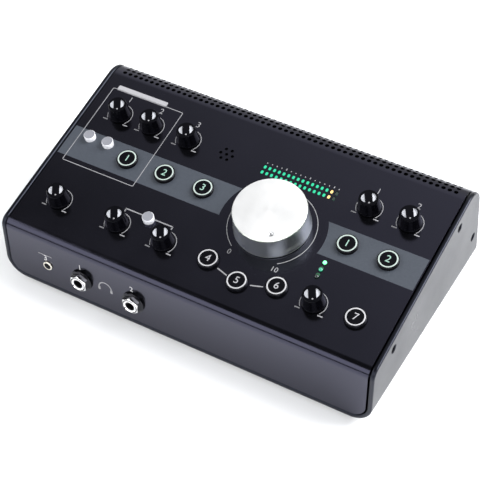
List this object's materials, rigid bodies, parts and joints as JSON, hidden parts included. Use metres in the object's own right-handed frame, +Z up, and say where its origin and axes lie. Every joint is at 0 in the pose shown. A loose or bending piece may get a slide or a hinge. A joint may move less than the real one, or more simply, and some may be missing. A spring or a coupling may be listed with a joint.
{
  "type": "studio monitor controller",
  "caption": "Sloped black desktop audio controller with a large silver volume knob, small knobs, round lit buttons, level lights and headphone sockets.",
  "frame": {"origin": "centre of the bounding box's underside, on the desk below the feet", "axes": "+X to the right seen from the front, +Y to the rear panel, +Z up"},
  "size_m": [0.29, 0.181, 0.0944],
  "materials": {
    "case_paint": "satin black powder coat",
    "cover_paint": "fine matt black powder coat",
    "rubber": "matt",
    "knob_metal": "turned and brushed, satin",
    "steel": "plain",
    "bright_metal": "bright plating",
    "dark_gloss": "glossy black",
    "white_cap": "glossy white",
    "green_lens": "translucent green",
    "circuit": "green solder mask",
    "dark_plastic": "moulded black"
  },
  "bodies": {
    "case": {"base_shell": "case_paint", "top_cover": "cover_paint", "rubber_foot_1": "rubber", "rubber_foot_2": "rubber", "rubber_foot_3": "rubber", "rubber_foot_4": "rubber", "rear_panel": "cover_paint", "monitor_out_jack_1": "dark_plastic", "monitor_out_jack_2": "dark_plastic", "monitor_out_jack_3": "dark_plastic", "monitor_out_jack_4": "dark_plastic", "line_in_jack_1": "dark_plastic", "line_in_jack_2": "dark_plastic", "combo_jack_1": "dark_plastic", "combo_jack_2": "dark_plastic", "usb_port": "steel", "power_inlet": "dark_plastic", "power_switch_housing": "dark_plastic", "connector_board": "circuit", "small_input_jack": "bright_metal", "headphone_jack_1": "dark_plastic", "headphone_jack_2": "dark_plastic", "headphone_nut_1": "bright_metal", "headphone_nut_2": "bright_metal", "control_board": "circuit", "meter_light_guide": "green_lens", "mic_capsule": "rubber"},
    "gain_knob_1_body": {"gain_knob_1": "dark_gloss", "gain_shaft_1": "steel"},
    "gain_knob_2_body": {"gain_knob_2": "dark_gloss", "gain_shaft_2": "steel"},
    "line_trim_knob_body": {"line_trim_knob": "dark_gloss", "line_trim_shaft": "steel"},
    "monitor_trim_knob_1_body": {"monitor_trim_knob_1": "dark_gloss", "monitor_trim_shaft_1": "steel"},
    "monitor_trim_knob_2_body": {"monitor_trim_knob_2": "dark_gloss", "monitor_trim_shaft_2": "steel"},
    "direct_level_knob_body": {"direct_level_knob": "dark_gloss", "direct_level_shaft": "steel"},
    "headphone_level_knob_1_body": {"headphone_level_knob_1": "dark_gloss", "headphone_level_shaft_1": "steel"},
    "headphone_level_knob_2_body": {"headphone_level_knob_2": "dark_gloss", "headphone_level_shaft_2": "steel"},
    "talkback_level_knob_body": {"talkback_level_knob": "dark_gloss", "talkback_level_shaft": "steel"},
    "volume_knob_body": {"volume_knob": "knob_metal", "volume_shaft": "steel"},
    "source_button_1_body": {"source_button_1": "dark_gloss"},
    "source_button_2_body": {"source_button_2": "dark_gloss"},
    "source_button_3_body": {"source_button_3": "dark_gloss"},
    "monitor_button_1_body": {"monitor_button_1": "dark_gloss"},
    "monitor_button_2_body": {"monitor_button_2": "dark_gloss"},
    "mono_button_body": {"mono_button": "dark_gloss"},
    "mute_button_body": {"mute_button": "dark_gloss"},
    "dim_button_body": {"dim_button": "dark_gloss"},
    "talkback_button_body": {"talkback_button": "dark_gloss"},
    "input_push_1_body": {"input_push_1": "white_cap"},
    "input_push_2_body": {"input_push_2": "white_cap"},
    "headphone_push_body": {"headphone_push": "white_cap"},
    "power_switch_rocker_body": {"power_switch_rocker": "dark_gloss"}
  },
  "joints": [
    {"name": "gain_knob_1_turn", "type": "hinge", "parent": "case", "child": "gain_knob_1_body", "pos_m": [-0.1153, 0.02618, 0.07889], "axis": [0, -0.2233, 0.9748], "range_deg": [0, 300]},
    {"name": "gain_knob_2_turn", "type": "hinge", "parent": "case", "child": "gain_knob_2_body", "pos_m": [-0.08851, 0.02618, 0.07889], "axis": [0, -0.2233, 0.9748], "range_deg": [0, 300]},
    {"name": "line_trim_knob_turn", "type": "hinge", "parent": "case", "child": "line_trim_knob_body", "pos_m": [-0.05759, 0.02618, 0.07889], "axis": [0, -0.2233, 0.9748], "range_deg": [0, 300]},
    {"name": "monitor_trim_knob_1_turn", "type": "hinge", "parent": "case", "child": "monitor_trim_knob_1_body", "pos_m": [0.08549, 0.02618, 0.07889], "axis": [0, -0.2233, 0.9748], "range_deg": [0, 300]},
    {"name": "monitor_trim_knob_2_turn", "type": "hinge", "parent": "case", "child": "monitor_trim_knob_2_body", "pos_m": [0.11571, 0.02618, 0.07889], "axis": [0, -0.2233, 0.9748], "range_deg": [0, 300]},
    {"name": "direct_level_knob_turn", "type": "hinge", "parent": "case", "child": "direct_level_knob_body", "pos_m": [-0.1153, -0.05436, 0.06044], "axis": [0, -0.2233, 0.9748], "range_deg": [0, 300]},
    {"name": "headphone_level_knob_1_turn", "type": "hinge", "parent": "case", "child": "headphone_level_knob_1_body", "pos_m": [-0.06699, -0.05436, 0.06044], "axis": [0, -0.2233, 0.9748], "range_deg": [0, 300]},
    {"name": "headphone_level_knob_2_turn", "type": "hinge", "parent": "case", "child": "headphone_level_knob_2_body", "pos_m": [-0.02984, -0.05436, 0.06044], "axis": [0, -0.2233, 0.9748], "range_deg": [0, 300]},
    {"name": "talkback_level_knob_turn", "type": "hinge", "parent": "case", "child": "talkback_level_knob_body", "pos_m": [0.08549, -0.05436, 0.06044], "axis": [0, -0.2233, 0.9748], "range_deg": [0, 300]},
    {"name": "volume_knob_turn", "type": "hinge", "parent": "case", "child": "volume_knob_body", "pos_m": [0.03199, -0.01256, 0.07002], "axis": [0, -0.2233, 0.9748], "range_deg": [0, 300]},
    {"name": "source_button_1_press", "type": "slide", "parent": "case", "child": "source_button_1_body", "axis": [0, 0.2233, -0.9748], "range_m": [0, 0.001], "stiffness_N_per_m": 600, "springref_m": -0.001},
    {"name": "source_button_2_press", "type": "slide", "parent": "case", "child": "source_button_2_body", "axis": [0, 0.2233, -0.9748], "range_m": [0, 0.001], "stiffness_N_per_m": 600, "springref_m": -0.001},
    {"name": "source_button_3_press", "type": "slide", "parent": "case", "child": "source_button_3_body", "axis": [0, 0.2233, -0.9748], "range_m": [0, 0.001], "stiffness_N_per_m": 600, "springref_m": -0.001},
    {"name": "monitor_button_1_press", "type": "slide", "parent": "case", "child": "monitor_button_1_body", "axis": [0, 0.2233, -0.9748], "range_m": [0, 0.001], "stiffness_N_per_m": 600, "springref_m": -0.001},
    {"name": "monitor_button_2_press", "type": "slide", "parent": "case", "child": "monitor_button_2_body", "axis": [0, 0.2233, -0.9748], "range_m": [0, 0.001], "stiffness_N_per_m": 600, "springref_m": -0.001},
    {"name": "mono_button_press", "type": "slide", "parent": "case", "child": "mono_button_body", "axis": [0, 0.2233, -0.9748], "range_m": [0, 0.001], "stiffness_N_per_m": 600, "springref_m": -0.001},
    {"name": "mute_button_press", "type": "slide", "parent": "case", "child": "mute_button_body", "axis": [0, 0.2233, -0.9748], "range_m": [0, 0.001], "stiffness_N_per_m": 600, "springref_m": -0.001},
    {"name": "dim_button_press", "type": "slide", "parent": "case", "child": "dim_button_body", "axis": [0, 0.2233, -0.9748], "range_m": [0, 0.001], "stiffness_N_per_m": 600, "springref_m": -0.001},
    {"name": "talkback_button_press", "type": "slide", "parent": "case", "child": "talkback_button_body", "axis": [0, 0.2233, -0.9748], "range_m": [0, 0.001], "stiffness_N_per_m": 600, "springref_m": -0.001},
    {"name": "input_push_1_press", "type": "slide", "parent": "case", "child": "input_push_1_body", "axis": [0, 0.2233, -0.9748], "range_m": [0, 0.0018], "stiffness_N_per_m": 500, "springref_m": -0.001},
    {"name": "input_push_2_press", "type": "slide", "parent": "case", "child": "input_push_2_body", "axis": [0, 0.2233, -0.9748], "range_m": [0, 0.0018], "stiffness_N_per_m": 500, "springref_m": -0.001},
    {"name": "headphone_push_press", "type": "slide", "parent": "case", "child": "headphone_push_body", "axis": [0, 0.2233, -0.9748], "range_m": [0, 0.0018], "stiffness_N_per_m": 500, "springref_m": -0.001},
    {"name": "power_switch_rocker_tip", "type": "hinge", "parent": "case", "child": "power_switch_rocker_body", "pos_m": [0.1247, 0.086, 0.03701], "axis": [1, 0, 0], "range_deg": [0, 18]}
  ]
}
